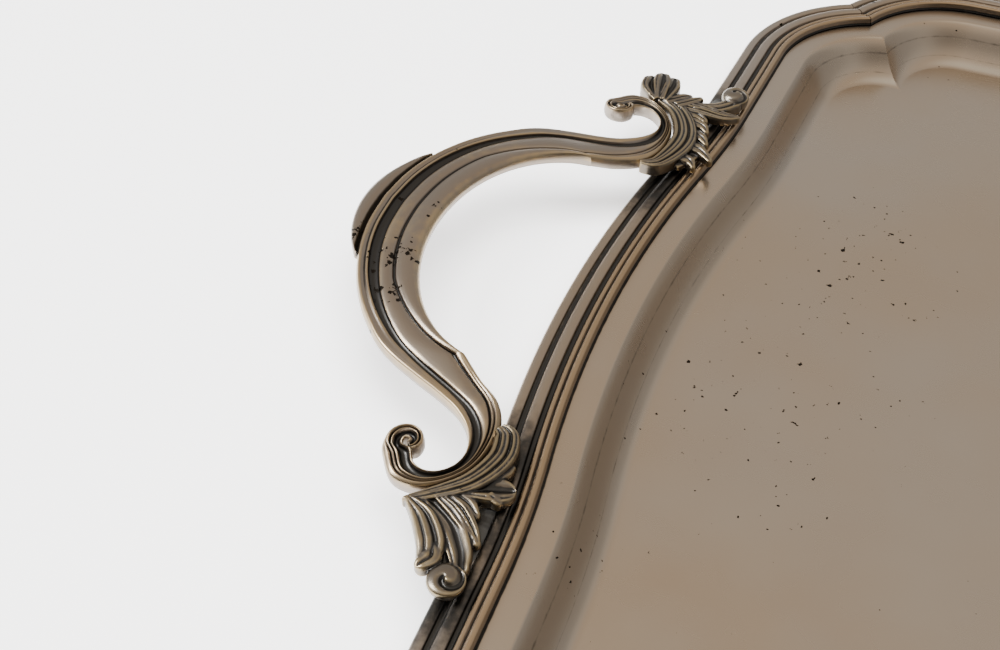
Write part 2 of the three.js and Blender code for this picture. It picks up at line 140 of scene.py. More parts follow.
def quarter_turn(line, quarter):
    """A side's points in plan, for the right end, far side, left end or near side."""
    c, s = [(1, 0), (0, 1), (-1, 0), (0, -1)][quarter]
    return np.stack([line[:, 1] * c - line[:, 0] * s, line[:, 1] * s + line[:, 0] * c], 1)


def outline_ring(inset):
    sides = [END, LONG, END, LONG]
    return np.concatenate([quarter_turn(side_line(side, inset)[1:], q) for q, side in enumerate(sides)])


def grid_faces(rows, columns, close_rows=False, close_columns=True):
    """Quads over a grid of points."""
    r = np.arange(rows if close_rows else rows - 1)
    c = np.arange(columns if close_columns else columns - 1)
    r, c = np.meshgrid(r, c, indexing="ij")
    r1, c1 = (r + 1) % rows, (c + 1) % columns
    quads = np.stack([r * columns + c, r * columns + c1, r1 * columns + c1, r1 * columns + c], -1)
    return quads.reshape(-1, 4).tolist()


def turned_out(points, faces):
    """The faces of a closed shape, turned so that they point out of it."""
    volume = 0.0
    for corners in {len(face) for face in faces}:
        ring = points[np.array([face for face in faces if len(face) == corners])]
        for i in range(1, corners - 1):
            volume += np.sum(ring[:, 0] * np.cross(ring[:, i], ring[:, i + 1]))
    return faces if volume > 0 else [face[::-1] for face in faces]


def metal_piece(name, points, faces, recess, crown, sharp_angle=50):
    """A closed mesh in metres, its faces turned out, with how deep and how proud each point lies; the depth
    values also carry painted shade.
    """
    mesh = bpy.data.meshes.new(name)
    mesh.from_pydata((points * MM).tolist(), [], turned_out(points, faces))
    mesh.update()
    for label, values in (("recess", recess), ("crown", crown)):
        attribute = mesh.attributes.new(label, "FLOAT", "POINT")
        attribute.data.foreach_set("value", np.asarray(values, np.float32))
    mesh.shade_smooth()
    mesh.set_sharp_from_angle(angle=math.radians(sharp_angle))
    piece = bpy.data.objects.new(name, mesh)
    bpy.context.scene.collection.objects.link(piece)
    return piece


def wall_profile(steps):
    u = np.linspace(0, 1, steps)
    fall = np.sin(np.pi / 2 * u ** 0.75) ** 2
    well_depth = border_top - sheet_thickness
    return np.stack([border_width + (wall_foot - border_width) * u, border_top - well_depth * fall], 1)


wall = wall_profile(64)
slope = np.gradient(wall, axis=0)
slope /= np.linalg.norm(slope, axis=1, keepdims=True)
under_wall = wall + sheet_thickness * np.stack([slope[:, 1], -slope[:, 0]], 1)
under_wall[0] = [border_width, border_top - sheet_thickness]
under_wall[-1] = [wall_foot, 0]
floor_scales = np.linspace(1, 0.02, 26)[1:]

wall_width = wall_foot - border_width
# Painted shade: a dark line at the moulding's foot, where the joint is also tarnished, and two dark lines along
# the wall. These go into the tray's recess values.
shade_and_tarnish_lines = [(12.1, 0.3, 0.8), (border_width + 0.30 * wall_width, 0.28, 0.42),
                 (border_width + 0.62 * wall_width, 0.22, 0.40)]
border_insets = np.array([sheet_edge, 11.4, 11.8, 12.1, 12.4, 12.8, 13.3, 14.2, 16])
border = np.stack([border_insets, np.full(len(border_insets), border_top)], 1)

rings = []
ring_shade_and_tarnish = []
for inset, height in np.concatenate([border, wall]):
    lines = [depth * math.exp(-((inset - line) / width) ** 2) for line, width, depth in shade_and_tarnish_lines]
    ring_shade_and_tarnish.append(max(lines))
    ring = outline_ring(inset)
    rings.append(np.column_stack([ring, np.full(len(ring), height)]))
foot_ring = outline_ring(wall_foot)
for share in floor_scales:
    rings.append(np.column_stack([foot_ring * share, np.full(len(foot_ring), sheet_thickness)]))
for share in floor_scales[::-1]:
    rings.append(np.column_stack([foot_ring * share, np.zeros(len(foot_ring))]))
for inset, height in np.concatenate([under_wall[::-1], [[sheet_edge, border_top - sheet_thickness]]]):
    ring = outline_ring(inset)
    rings.append(np.column_stack([ring, np.full(len(ring), height)]))
tray_points = np.concatenate(rings)
around = len(foot_ring)
middle = len(ring_shade_and_tarnish) + len(floor_scales) - 1
tray_faces = grid_faces(len(rings), around, close_rows=True)
tray_faces = tray_faces[:middle * around] + tray_faces[(middle + 1) * around:]
tray_faces.append([middle * around + i for i in range(around)])
tray_faces.append([(middle + 1) * around + i for i in range(around)][::-1])
plain = np.zeros(len(tray_points))
# The border and wall rings carry the painted shade lines.
tray_shade_and_tarnish = plain.copy()
tray_shade_and_tarnish[:len(ring_shade_and_tarnish) * len(foot_ring)] = np.repeat(ring_shade_and_tarnish, len(foot_ring))
tray = metal_piece("pressed_tray", tray_points, tray_faces, tray_shade_and_tarnish, plain, 40)


def node_group(name, inputs, outputs):
    """An empty shader group with named sockets, and its input and output nodes."""
    group = bpy.data.node_groups.new(name, "ShaderNodeTree")
    for label, kind, value in inputs:
        socket = group.interface.new_socket(label, in_out="INPUT", socket_type=kind)
        socket.default_value = value
    for label, kind in outputs:
        group.interface.new_socket(label, in_out="OUTPUT", socket_type=kind)
    return group, group.nodes.new("NodeGroupInput"), group.nodes.new("NodeGroupOutput")


def add(tree, kind, links=None, **values):
    """A node with its settings, its constant inputs and its links."""
    node = tree.nodes.new(kind)
    for label, value in values.items():
        setattr(node, label, value)
    for label, source in (links or {}).items():
        if isinstance(source, bpy.types.NodeSocket):
            tree.links.new(source, node.inputs[label])
        else:
            node.inputs[label].default_value = source
    return node


def math_node(tree, operation, a, b=0.0, clamp=False):
    node = add(tree, "ShaderNodeMath", {0: a, 1: b}, operation=operation)
    node.use_clamp = clamp
    return node.outputs[0]


def ramp(tree, value, low, high):
    """0 below low, 1 above high, eased between."""
    node = add(tree, "ShaderNodeMapRange", {"Value": value, "From Min": low, "From Max": high},
               interpolation_type="SMOOTHSTEP")
    return node.outputs["Result"]


def blend_colour(tree, factor, a, b):
    node = tree.nodes.new("ShaderNodeMix")
    node.data_type = "RGBA"
    for index, value in ((0, factor), (6, a), (7, b)):
        if isinstance(value, bpy.types.NodeSocket):
            tree.links.new(value, node.inputs[index])
        else:
            node.inputs[index].default_value = value
    return node.outputs[2]


FLOAT, COLOUR, VECTOR = "NodeSocketFloat", "NodeSocketColor", "NodeSocketVector"


def build_scratches():
    """Hairline scratches in three directions."""
    group, given, out = node_group("hairline_scratches", [("Vector", VECTOR, (0, 0, 0)), ("Fine", FLOAT, 1.0)],
                                   [("Mask", FLOAT)])
    total = None
    for angle, stretch in ((0.35, 2600.0), (1.25, 3400.0), (2.3, 2100.0)):
        turn = add(group, "ShaderNodeMapping", {"Vector": given.outputs["Vector"], "Rotation": (0, 0, angle),
                                                "Scale": (14.0, stretch, 0.0)})
        noise = add(group, "ShaderNodeTexNoise", {"Vector": turn.outputs[0], "Scale": 1.0, "Detail": 0.0})
        line = ramp(group, noise.outputs["Fac"], 0.70, 0.82)
        total = line if total is None else math_node(group, "MAXIMUM", total, line)
    patch = add(group, "ShaderNodeTexNoise", {"Vector": given.outputs["Vector"], "Scale": 14.0, "Detail": 2.0})
    mask = math_node(group, "MULTIPLY", total, ramp(group, patch.outputs["Fac"], 0.42, 0.66))
    mask = math_node(group, "MULTIPLY", mask, given.outputs["Fine"])
    group.links.new(mask, out.inputs["Mask"])
    return group


def build_specks():
    """Small dark pits of many sizes, as common as Gather says."""
    group, given, out = node_group("dark_specks", [
        ("Vector", VECTOR, (0, 0, 0)), ("Scale", FLOAT, 160.0), ("Size", FLOAT, 0.07), ("Gather", FLOAT, 0.1),
    ], [("Mask", FLOAT)])
    where = given.outputs["Vector"]
    cells = add(group, "ShaderNodeTexVoronoi", {"Vector": where, "Scale": given.outputs["Scale"]})
    share = add(group, "ShaderNodeSeparateColor", {"Color": cells.outputs["Color"]})
    spread = math_node(group, "POWER", share.outputs["Green"], 2.0)
    size = math_node(group, "MULTIPLY", given.outputs["Size"], spread)
    ragged = add(group, "ShaderNodeTexNoise", {"Vector": where, "Scale": 1800.0}).outputs["Fac"]
    size = math_node(group, "MULTIPLY", size, math_node(group, "MULTIPLY", ragged, 2.0))
    dot = math_node(group, "LESS_THAN", cells.outputs["Distance"], size)
    kept = math_node(group, "LESS_THAN", share.outputs["Red"], given.outputs["Gather"])
    dots = math_node(group, "MULTIPLY", dot, kept)
    blot = add(group, "ShaderNodeTexNoise", {"Vector": where, "Scale": 520.0, "Detail": 4.0})
    gather = math_node(group, "MULTIPLY", given.outputs["Gather"], 0.24)
    blot = math_node(group, "ADD", blot.outputs["Fac"], gather)
    blot = math_node(group, "GREATER_THAN", blot, 0.78)
    group.links.new(math_node(group, "MAXIMUM", dots, blot), out.inputs["Mask"])
    return group


def build_plate():
    """Worn silver plate: cloudy silver, brass on proud edges, recesses tarnished black and darkened with
    painted shade.
    """
    group, given, out = node_group("worn_plate", [
        ("Vector", VECTOR, (0, 0, 0)), ("Silver", COLOUR, (1, 1, 1, 1)), ("Warm", COLOUR, (1, 1, 1, 1)),
        ("Brass", COLOUR, (1, 1, 1, 1)), ("Tarnish", COLOUR, (0, 0, 0, 1)), ("Recess", FLOAT, 0.0),
        ("Crown", FLOAT, 0.0), ("Wear", FLOAT, 0.5), ("Roughness", FLOAT, 0.3),
    ], [("Color", COLOUR), ("Roughness", FLOAT)])
    where = given.outputs["Vector"]
    broad = add(group, "ShaderNodeTexNoise", {"Vector": where, "Scale": 9.0, "Detail": 4.0}).outputs["Fac"]
    fine = add(group, "ShaderNodeTexNoise", {"Vector": where, "Scale": 420.0, "Detail": 3.0}).outputs["Fac"]
    cloud = add(group, "ShaderNodeTexNoise", {"Vector": where, "Scale": 55.0, "Detail": 3.0}).outputs["Fac"]
    silver = blend_colour(group, ramp(group, broad, 0.35, 0.65), given.outputs["Silver"], given.outputs["Warm"])
    ragged = math_node(group, "MULTIPLY", math_node(group, "SUBTRACT", fine, 0.5), 0.7)
    worn = math_node(group, "ADD", given.outputs["Crown"], ragged)
    worn = math_node(group, "ADD", worn, math_node(group, "SUBTRACT", cloud, 0.5))
    brass = math_node(group, "MULTIPLY", ramp(group, worn, 0.25, 0.85), given.outputs["Wear"])
    deep = math_node(group, "ADD", given.outputs["Recess"], math_node(group, "MULTIPLY", ragged, 0.6))
    # Recess values darken towards the Tarnish colour: tarnished black in real hollows, and painted shade where
    # a piece's values carry it.
    tarnish_and_shade = ramp(group, deep, 0.22, 0.72)
    colour = blend_colour(group, brass, silver, given.outputs["Brass"])
    colour = blend_colour(group, tarnish_and_shade, colour, given.outputs["Tarnish"])
    rough = math_node(group, "ADD", given.outputs["Roughness"], math_node(group, "MULTIPLY", cloud, 0.12))
    rough = math_node(group, "ADD", rough, math_node(group, "MULTIPLY", tarnish_and_shade, 0.04))
    group.links.new(colour, out.inputs["Color"])
    group.links.new(rough, out.inputs["Roughness"])
    return group


scratches, specks, worn_plate = build_scratches(), build_specks(), build_plate()


def gathered(tree, where, everywhere, places):
    """How common the pits are: everywhere a little, and more round the places given in mm."""
    total = None
    for *place, reach, most in places:
        centre = [value * MM for value in place]
        apart = add(tree, "ShaderNodeVectorMath", {0: where, 1: centre}, operation="DISTANCE")
        near = math_node(tree, "MULTIPLY", ramp(tree, apart.outputs["Value"], reach * MM, 0.0), most)
        total = near if total is None else math_node(tree, "MAXIMUM", total, near)
    return everywhere if total is None else math_node(tree, "ADD", total, everywhere)


def plated_metal(name, silver, warm, brass, wear, roughness, speck_scale, speck_size, grain, scratch,
                 everywhere=0.02, places=()):
    """A material of worn plate with its own colours, pitting, grain and scratches."""
    material = bpy.data.materials.new(name)
    material.use_nodes = True
    tree = material.node_tree
    shader = tree.nodes["Principled BSDF"]
    where = add(tree, "ShaderNodeTexCoord").outputs["Object"]
    # The recess attribute holds tarnished depth and painted shade together.
    recess = add(tree, "ShaderNodeAttribute", attribute_name="recess").outputs["Fac"]
    crown = add(tree, "ShaderNodeAttribute", attribute_name="crown").outputs["Fac"]
    plate = add(tree, "ShaderNodeGroup", node_tree=worn_plate)
    # The dark grey of tarnished hollows, also used for painted shade.
    tarnish_and_shade_grey = (0.055, 0.053, 0.05)
    for label, value in (("Silver", silver), ("Warm", warm), ("Brass", brass), ("Tarnish", tarnish_and_shade_grey)):
        plate.inputs[label].default_value = (*value, 1)
    plate.inputs["Wear"].default_value = wear
    plate.inputs["Roughness"].default_value = roughness
    for label, source in (("Vector", where), ("Recess", recess), ("Crown", crown)):
        tree.links.new(source, plate.inputs[label])
    dots = add(tree, "ShaderNodeGroup", {}, node_tree=specks)
    dots.inputs["Scale"].default_value = speck_scale
    dots.inputs["Size"].default_value = speck_size
    tree.links.new(where, dots.inputs["Vector"])
    common = gathered(tree, where, everywhere, places)
    if isinstance(common, float):
        dots.inputs["Gather"].default_value = common
    else:
        tree.links.new(common, dots.inputs["Gather"])
    lines = add(tree, "ShaderNodeGroup", {}, node_tree=scratches)
    lines.inputs["Fine"].default_value = scratch
    tree.links.new(where, lines.inputs["Vector"])
    colour = blend_colour(tree, dots.outputs["Mask"], plate.outputs["Color"], (0.02, 0.016, 0.012, 1))
    rough = math_node(tree, "ADD", plate.outputs["Roughness"],
                      math_node(tree, "MULTIPLY", lines.outputs["Mask"], 0.03))
    tree.links.new(colour, shader.inputs["Base Color"])
    tree.links.new(rough, shader.inputs["Roughness"])
    shader.inputs["Metallic"].default_value = 1.0
    wavy = add(tree, "ShaderNodeTexNoise", {"Vector": where, "Scale": 26.0, "Detail": 1.0}).outputs["Fac"]
    grit = add(tree, "ShaderNodeTexNoise", {"Vector": where, "Scale": 1500.0, "Detail": 2.0}).outputs["Fac"]
    height = math_node(tree, "MULTIPLY", wavy, 0.5)
    height = math_node(tree, "ADD", height, math_node(tree, "MULTIPLY", grit, grain))
    height = math_node(tree, "SUBTRACT", height, math_node(tree, "MULTIPLY", dots.outputs["Mask"], 0.15))
    bump = add(tree, "ShaderNodeBump", {"Height": height, "Strength": 0.35, "Distance": 0.001})
    tree.links.new(bump.outputs["Normal"], shader.inputs["Normal"])
    return material


speck_patches = [(-half_length + along, across, sheet_thickness, reach, 0.4)
                 for along, across, reach in ((61.6, 60.4, 40), (60.1, 37.8, 45), (55.6, -13.3, 55),
                                              (28.4, -68.1, 24))]
sheet_metal = plated_metal("plated_sheet", silver=(0.46, 0.405, 0.345), warm=(0.46, 0.375, 0.285),
                           brass=(0.55, 0.42, 0.24), wear=0.3, roughness=0.22,
                           speck_scale=300, speck_size=0.11, grain=0.012, scratch=1.0,
                           everywhere=0.06, places=speck_patches)
tray.data.materials.append(sheet_metal)
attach(tray, "root")
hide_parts("tray_body")

# ---- Border mouldings ----
# Four drawn strips of reeded moulding, plated, their section a broad outer band, a black
# groove, an ovolo, a cavetto and two beads. They are mitred at the cusps and soldered on.

moulding_width = 12.0
bead_height = bead_top - border_top
lip_thickness = 1.7
lip_depth = bead_height + sheet_thickness + 0.6
fit_gap = 0.3

# Key points of the section: inset from the outer edge, height over the bead's top.
moulding_keys = np.array([
    [lip_thickness, -lip_depth], [0.9, -lip_depth], [0.35, -lip_depth + 0.3], [0.05, -3.0], [0.0, -2.3],
    [0.3, -1.7], [0.9, -1.38], [1.7, -1.3], [2.3, -1.38], [2.6, -1.6], [2.8, -2.0], [3.4, -2.1], [3.9, -1.95],
    [4.05, -1.4], [4.4, -0.9], [5.2, -0.65], [6.2, -0.65], [6.8, -0.9], [7.05, -1.5], [7.5, -1.65], [8.0, -1.5],
    [8.25, -0.9], [8.5, -0.5], [8.9, -0.38], [9.3, -0.5], [9.5, -0.85], [9.75, -0.95], [9.95, -0.5],
    [10.25, -0.1], [10.75, 0.0], [11.25, -0.1], [11.55, -0.45], [11.7, -1.2], [11.8, -1.8],
    [moulding_width, -bead_height + fit_gap], [6.0, -bead_height + fit_gap],
    [lip_thickness, -bead_height + fit_gap],
])


def smooth_rows(rows, steps):
    """Rows between control rows, on a Catmull-Rom curve through them."""
    rows = np.asarray(rows, float)
    padded = np.concatenate([rows[:1], rows, rows[-1:]])
    t = (np.arange(steps) / steps)[:, None]
    parts = []
    for a, b, c, d in zip(padded, padded[1:], padded[2:], padded[3:]):
        cubic = 3 * b - a - 3 * c + d
        parts.append(0.5 * (2 * b + (c - a) * t + (2 * a - 5 * b + 4 * c - d) * t ** 2 + cubic * t ** 3))
    return np.concatenate([*parts, rows[-1:]])


def relief_along(section, reach):
    """How far each point of a closed section stands out from the section smoothed over a reach."""
    step = np.linalg.norm(np.roll(section, -1, 0) - section, axis=1)
    place = np.concatenate([[0], np.cumsum(step)[:-1]])
    apart = np.abs(place[:, None] - place[None])
    apart = np.minimum(apart, step.sum() - apart)
    weight = np.exp(-(apart / reach) ** 2 / 2) * ((step + np.roll(step, 1)) / 2)[None]
    smoothed = weight @ section / weight.sum(1, keepdims=True)
    tangent = np.roll(section, -1, 0) - np.roll(section, 1, 0)
    tangent /= np.linalg.norm(tangent, axis=1, keepdims=True) + 1e-9
    normal = np.stack([-tangent[:, 1], tangent[:, 0]], 1)
    return np.sum((section - smoothed) * normal, 1)


crisp_angle = 30
moulding_section = np.concatenate([smooth_rows(moulding_keys[:-3], 3), moulding_keys[-3:]])
moulding_relief = relief_along(moulding_section, 0.9)
top_side = moulding_section[:, 1] > -2.2
moulding_recess = np.where(top_side, np.clip(-moulding_relief / 0.42, 0, 1), 0.2)
moulding_crown = np.where(top_side, np.clip(moulding_relief / 0.3, 0, 1), 0)
# The moulding's inner face, in the crevice against the border, is painted dark: a tarnished joint with painted
# shade.
moulding_recess = np.where(moulding_section[:, 0] > 11.75, 0.75, moulding_recess)
bead_wear = np.where(moulding_section[:, 0] > 8.2, 1.0, 0.35)
leaf_places = np.array([[6, -58], [7, -76], [9, -95], [7, 44], [7, 62], [9, 82]]) - [half_length, 0]
leaf_places = np.concatenate([leaf_places, -leaf_places])


def soot_round_leaves(points):
    """Tarnish that polishing doesn't reach, on the outer reeds round each leaf."""
    apart = np.linalg.norm(points[:, None, :2] - leaf_places[None], axis=2).min(1)
    return 0.72 * np.exp(-(apart / 17) ** 2)


moulding_metal = plated_metal("plated_moulding", silver=(0.39, 0.34, 0.29), warm=(0.35, 0.285, 0.22),
                              brass=(0.43, 0.29, 0.15), wear=0.6, roughness=0.27,
                              speck_scale=300, speck_size=0.25, grain=0.02, scratch=0.5, everywhere=0.03)
strips = [("right_end", END), ("far_side", LONG), ("left_end", END), ("near_side", LONG)]
for quarter, (place, side) in enumerate(strips):
    lines = [quarter_turn(side_line(side, max(inset, 0), fit_gap), quarter) for inset, _ in moulding_section]
    stations = len(lines[0])
    columns = len(moulding_section)
    points = np.empty((stations, columns, 3))
    for i, line in enumerate(lines):
        points[:, i, :2] = line
        points[:, i, 2] = bead_top + moulding_section[i, 1]
    faces = grid_faces(stations, columns)
    faces.append(list(range(columns))[::-1])
    faces.append([(stations - 1) * columns + i for i in range(columns)])
    points = points.reshape(-1, 3)
    soot = soot_round_leaves(points) * np.tile(moulding_section[:, 0] < 8.2, stations)
    recess = np.clip(np.tile(moulding_recess, stations) + soot, 0, 1)
    crown = np.tile(moulding_crown * bead_wear, stations) * (1 - soot)
    strip = metal_piece(place + "_reeded_strip", points, faces, recess, crown, crisp_angle)
    strip.data.materials.append(moulding_metal)
    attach(strip, "root")
    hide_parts(place + "_moulding")

# ---- Handle bows ----
# Each handle is a casting: a flat reeded strap, bent to a bow and scrolled at both ends,
# with a smooth thumb crest on the grip. It was plated, and tarnish fills its reeds.

bow_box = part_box("left_handle_bow")
grip_top = bow_box[1].z / MM
bow_centre_out = 6.0
crest_reach = 5.0
crest_half_span = 21.2
bow_reach = -bow_box[0].x / MM - half_length - crest_reach
bow_width = 16.2
bow_outer_span = 51.8
bow_inner_span = 39.6
grip_rise = grip_top - bead_top
kink_rise = 5.6
scroll_rise = 3.5
scroll_centre = np.array([-bow_centre_out, bow_outer_span + 11.4])
curl_offset = np.array([-5.5, 2.9])
curl_rise = 6.3
curl_lift = curl_rise - scroll_rise

# The strap rolled up in its curl: heading and reach of its rim, heading and reach of its
# inner edge, both from the curl's middle, and its lift.
curl_turns = [
    (155, 5.3, 100, 1.0, 0.65 * curl_lift), (187, 4.8, 150, 0.8, 0.82 * curl_lift),
    (222, 4.4, 200, 0.6, 0.93 * curl_lift), (262, 4.1, 250, 0.5, curl_lift), (302, 4.0, 300, 0.5, curl_lift),
    (342, 3.9, 350, 0.5, curl_lift), (376, 3.7, 390, 0.5, 0.95 * curl_lift),
    (402, 3.1, 420, 0.5, 0.85 * curl_lift),
]


def strap_rows():
    """Outer edge, inner edge and height of half the strap, from mid grip to the curl."""
    def grip_row(turn):
        c, s = math.cos(turn), math.sin(turn)
        ahead = turn * 1.3
        inner = bow_reach - bow_width - bow_centre_out
        return [
            -bow_centre_out - (bow_reach - bow_centre_out) * c, bow_outer_span * s,
            -bow_centre_out - inner * math.cos(ahead), bow_inner_span * math.sin(ahead),
            kink_rise + (grip_rise - kink_rise) * c ** 1.5,
        ]

    grip_turns = np.radians([0, 12, 24, 37, 50, 63])
    grip = np.array([grip_row(turn) for turn in grip_turns])
    scroll = np.array([
        [-4.5, -11.6, 1.4, -20.2, 1.5], [0.8, -9.0, 7.2, -16.3, 1.0], [4.7, -5.3, 10.3, -11, 0.5],
        [6.4, -1.0, 11.0, -4, 0], [5.9, 3.2, 9.6, 3, 0], [3.4, 6.2, 5.6, 8.6, 0], [0.4, 7.2, 0.6, 11.9, 0.2],
        [-2.2, 6.3, -5, 11.8, 0.6], [-3.8, 4, -9, 7.5, 1.2],
    ]) + [*scroll_centre, *scroll_centre, scroll_rise]
    for heading, reach, eye_heading, eye_reach, lift in curl_turns:
        heading, eye_heading = math.radians(heading), math.radians(eye_heading)
        eye = curl_offset + eye_reach * np.array([math.cos(eye_heading), math.sin(eye_heading)])
        rim = curl_offset + reach * np.array([math.cos(heading), math.sin(heading)])
        row = np.array([*(eye + scroll_centre), *(rim + scroll_centre), scroll_rise + lift])
        scroll = np.concatenate([scroll, [row]])
    steps = 12
    kink = (len(grip) - 1) * steps
    rows = smooth_rows(np.concatenate([grip, scroll]), steps)
    turns = np.interp(np.arange(kink + 1) / steps, np.arange(len(grip)), grip_turns)
    rows[:kink + 1, 2:4] = [grip_row(turn)[2:4] for turn in turns]
    past_kink = 2 * grip[-1] - scroll[0]
    after = smooth_rows(np.concatenate([[past_kink], grip[-1:], scroll]), steps)[steps:]
    rows[kink:, 2:4] = after[:, 2:4]
    into_curl = len(rows) - 1 - len(curl_turns) * steps
    stage_rows = [0, kink - 2.5 * steps, kink, kink + 4 * steps, into_curl, into_curl + 2 * steps]
    stage = np.interp(np.arange(len(rows)), stage_rows, [0, 0, 1, 2, 2, 3])
    return rows, stage, kink


# Section of the strap at mid grip, at the kink, round the scroll and in the curl: share of
# the width from the outer edge, and depth below the top in millimetres.
strap_sections = np.array([
    [[.05, 3.9], [0, 2.3], [.012, .8], [.05, .15], [.10, .5], [.13, .7], [.15, .3], [.17, .2], [.188, .4],
     [.20, 1.3], [.28, 1.7], [.352, 1.25], [.37, .45], [.465, .12], [.56, .4], [.585, .9], [.61, .9],
     [.635, .4], [.68, .2], [.72, .08], [.76, .02], [.81, 0], [.87, .08], [.93, .3],
     [.985, 1.1], [1, 2.3], [.965, 3.8], [.80, 4.35], [.25, 4.4]],
    [[.05, 3.9], [0, 2.3], [.015, .8], [.04, .2], [.10, .1], [.15, .1], [.19, .1], [.215, .2], [.235, .4],
     [.25, 1.1], [.30, 1.4], [.345, 1.1], [.36, .4], [.58, .1], [.79, .35], [.82, 1.1], [.85, 1.1],
     [.875, .4], [.89, .25], [.905, .15], [.92, .1], [.935, .1], [.95, .2], [.97, .4],
     [.99, 1.1], [1, 2.3], [.965, 3.8], [.80, 4.35], [.25, 4.4]],
    [[.06, 3.9], [0, 2.3], [.015, .8], [.04, .25], [.07, .15], [.09, .2], [.11, .35], [.13, .6], [.16, 1.0],
     [.22, 1.35], [.31, 1.5], [.40, 1.3], [.46, .7], [.50, .3], [.54, .25], [.575, .5], [.60, .85],
     [.625, .5], [.67, .15], [.715, .5], [.74, .85], [.765, .5], [.81, .15], [.87, .3],
     [.97, .9], [1, 2.3], [.95, 3.8], [.80, 4.35], [.25, 4.4]],
    [[.06, 3.9], [0, 1.2], [.03, .6], [.08, .5], [.14, .7], [.20, 1.0], [.26, 1.4], [.32, 1.7], [.38, 1.75],
     [.44, 1.5], [.49, .9], [.53, .4], [.57, .2], [.61, .3], [.64, .6], [.665, 1.0], [.69, 1.1],
     [.715, .8], [.75, .35], [.80, .1], [.85, .1], [.89, .25], [.93, .6], [.96, 1.1],
     [.985, 1.7], [1, 2.6], [.95, 3.8], [.80, 4.35], [.25, 4.4]],
])


def strap_mesh():
    rows, stage, kink = strap_rows()
    rings, depths, heights = [], [], []
    for (ox, oy, ix, iy, rise), at in zip(rows, stage):
        low = min(int(at), 2)
        keys = strap_sections[low] + (strap_sections[low + 1] - strap_sections[low]) * (at - low)
        section = smooth_rows(keys, 3)
        section[:, 1] = np.maximum(section[:, 1], 0)
        width = math.hypot(ix - ox, iy - oy)
        relief = relief_along(np.stack([section[:, 0] * width, -section[:, 1]], 1), 1.0)
        across = section[:, :1]
        edge = np.array([ox, oy]) + across * np.array([ix - ox, iy - oy])
        rings.append(np.column_stack([edge, bead_top + rise - section[:, 1]]))
        on_top = section[:, 1] < 2
        soot = np.interp(at, [0, 0.6, 1.4, 2, 3], [0.0, 0.06, 0.2, 0.34, 0.42])
        depths.append(np.where(on_top, np.clip(-relief / 0.30 + soot, 0, 1), 0.12 + 0.5 * soot))
        heights.append(np.where(on_top, np.clip(relief / 0.4, 0, 1), 0))
    near = [ring * [1, -1, 1] for ring in rings[:0:-1]]
    whole = np.array(near + rings)
    whole[:, :, 0] -= half_length
    columns = whole.shape[1]
    faces = grid_faces(len(whole), columns)
    faces.append(list(range(columns))[::-1])
    faces.append([(len(whole) - 1) * columns + i for i in range(columns)])
    recess = np.concatenate(depths[:0:-1] + depths)
    crown = np.concatenate(heights[:0:-1] + heights)
    kink_rings = [len(rows) - 1 - kink, len(rows) - 1 + kink]
    inner_third = range(columns // 2, columns - 6)
    creases = {(ring * columns + i, ring * columns + i + 1) for ring in kink_rings for i in inner_third}
    return whole.reshape(-1, 3), faces, recess, crown, creases


def spiral_boss(centre, radius, bottom, top, hand, turns=1.6, groove=0.9):
    """A domed button with a spiral groove cut in its face."""
    around = 96
    shares = np.concatenate([np.linspace(0.02, 0.9, 26), [0.95, 0.985, 1.0]])
    theta = np.linspace(0, 2 * np.pi, around, endpoint=False)
    points, recess, crown = [], [], []
    for share in shares:
        dome = top - (top - bottom) * 0.42 * (1 - np.sqrt(max(1 - share ** 2.6, 0)))
        phase = (share * turns - hand * theta / (2 * np.pi)) % 1
        cut = np.exp(-((phase - 0.5) / 0.16) ** 2) * min(1, (1 - share) * 6) * min(1, share * 5)
        z = dome - groove * cut
        points.append(np.column_stack([centre[0] + radius * share * np.cos(theta),
                                       centre[1] + radius * share * np.sin(theta), z + 0 * theta]))
        recess.append(np.clip(cut * 1.1, 0, 1))
        crown.append(np.clip(0.75 - np.abs(cut - 0.25) * 3, 0, 1) * np.ones(around))
    for share, z in ((1.0, bottom + (top - bottom) * 0.4), (0.92, bottom), (0.02, bottom)):
        points.append(np.column_stack([centre[0] + radius * share * np.cos(theta),
                                       centre[1] + radius * share * np.sin(theta), np.full(around, z)]))
        recess.append(np.full(around, 0.15))
        crown.append(np.zeros(around))
    rows = len(points)
    faces = grid_faces(rows, around)
    faces.append(list(range(around))[::-1])
    faces.append([(rows - 1) * around + i for i in range(around)])
    return np.concatenate(points), faces, np.concatenate(recess), np.concatenate(crown)


